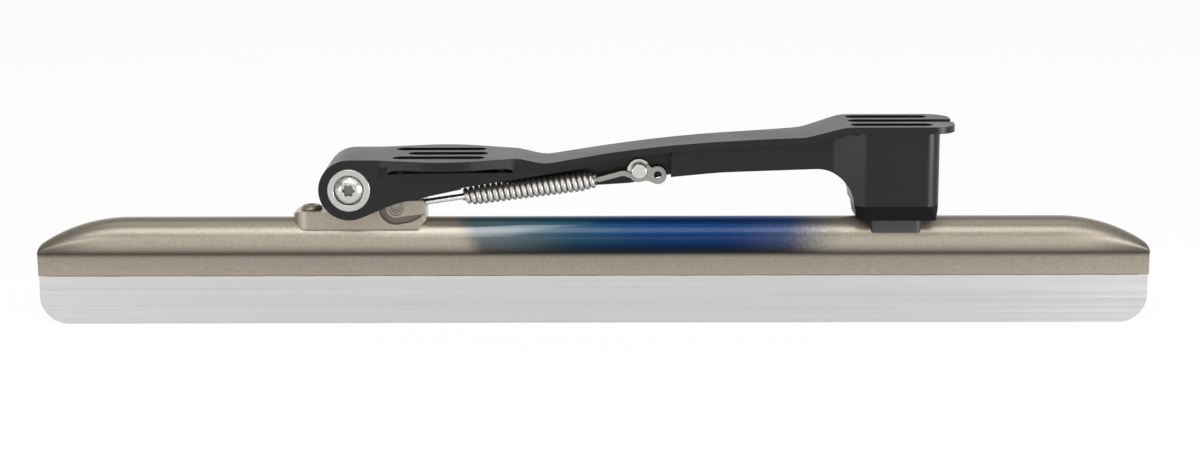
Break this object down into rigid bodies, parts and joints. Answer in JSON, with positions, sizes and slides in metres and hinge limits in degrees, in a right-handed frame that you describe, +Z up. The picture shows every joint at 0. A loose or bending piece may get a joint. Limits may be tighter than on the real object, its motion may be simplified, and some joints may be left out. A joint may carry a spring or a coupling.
{
  "type": "speed skate blade",
  "caption": "Clap skate blade: a steel runner in a round tube, hung on a sprung toe hinge under a slotted bridge that bolts to a boot at toe and heel.",
  "frame": {"origin": "middle of the running edge, on the ice", "axes": "+X towards the heel, +Y to the skater's right, +Z up"},
  "size_m": [0.406, 0.0412, 0.0748],
  "materials": {
    "steel": "lengthwise grind, satin",
    "lacquer": "metallic champagne lacquer, blue fade on the tube",
    "grey_plastic": "matt dark grey",
    "pin_steel": "bright turned steel",
    "bush_bronze": "plain bearing bronze",
    "anodised": "black anodised, satin",
    "collar_steel": "fine turned, satin",
    "black_rubber": "matt black",
    "polished_steel": "polished wire",
    "spring_steel": "satin spring wire",
    "hook_steel": "stamped, matt"
  },
  "bodies": {
    "blade": {"runner": "steel", "blade_tube": "lacquer", "hinge_base": "lacquer", "base_screw": "pin_steel", "rear_stop": "grey_plastic", "anchor_pin": "pin_steel", "hinge_bush_left": "bush_bronze", "hinge_bush_right": "bush_bronze", "thrust_washer_left": "bush_bronze", "thrust_washer_right": "bush_bronze"},
    "bridge": {"bridge": "anodised", "hinge_axle": "pin_steel", "axle_collar_left": "collar_steel", "axle_collar_right": "collar_steel", "axle_screw_left": "pin_steel", "axle_screw_right": "pin_steel", "heel_bumper": "black_rubber", "spring_pin": "pin_steel"},
    "spring_rod": {"spring_rod": "polished_steel", "spring_coil": "spring_steel"},
    "spring_hook": {"spring_hook": "hook_steel"}
  },
  "joints": [
    {"name": "clap_hinge", "type": "hinge", "parent": "blade", "child": "bridge", "pos_m": [-0.0874, 0, 0.0522], "axis": [0, -1, 0], "range_deg": [0, 50], "stiffness_Nm_per_rad": 3.3, "springref_deg": -3.44},
    {"name": "spring_swing", "type": "hinge", "parent": "blade", "child": "spring_rod", "pos_m": [-0.0713, -0.0036, 0.0444], "axis": [0, -1, 0], "range_deg": [0, 55]},
    {"name": "spring_stretch", "type": "slide", "parent": "spring_rod", "child": "spring_hook", "axis": [0.9896, 0, 0.1441], "range_m": [0, 0.0135], "deforming": ["spring_coil"]}
  ],
  "couplings": [
    {"joint": "spring_swing", "follows": "clap_hinge", "ratio": 1.0872},
    {"joint": "spring_stretch", "follows": "clap_hinge", "m_per_rad": 0.015212}
  ]
}
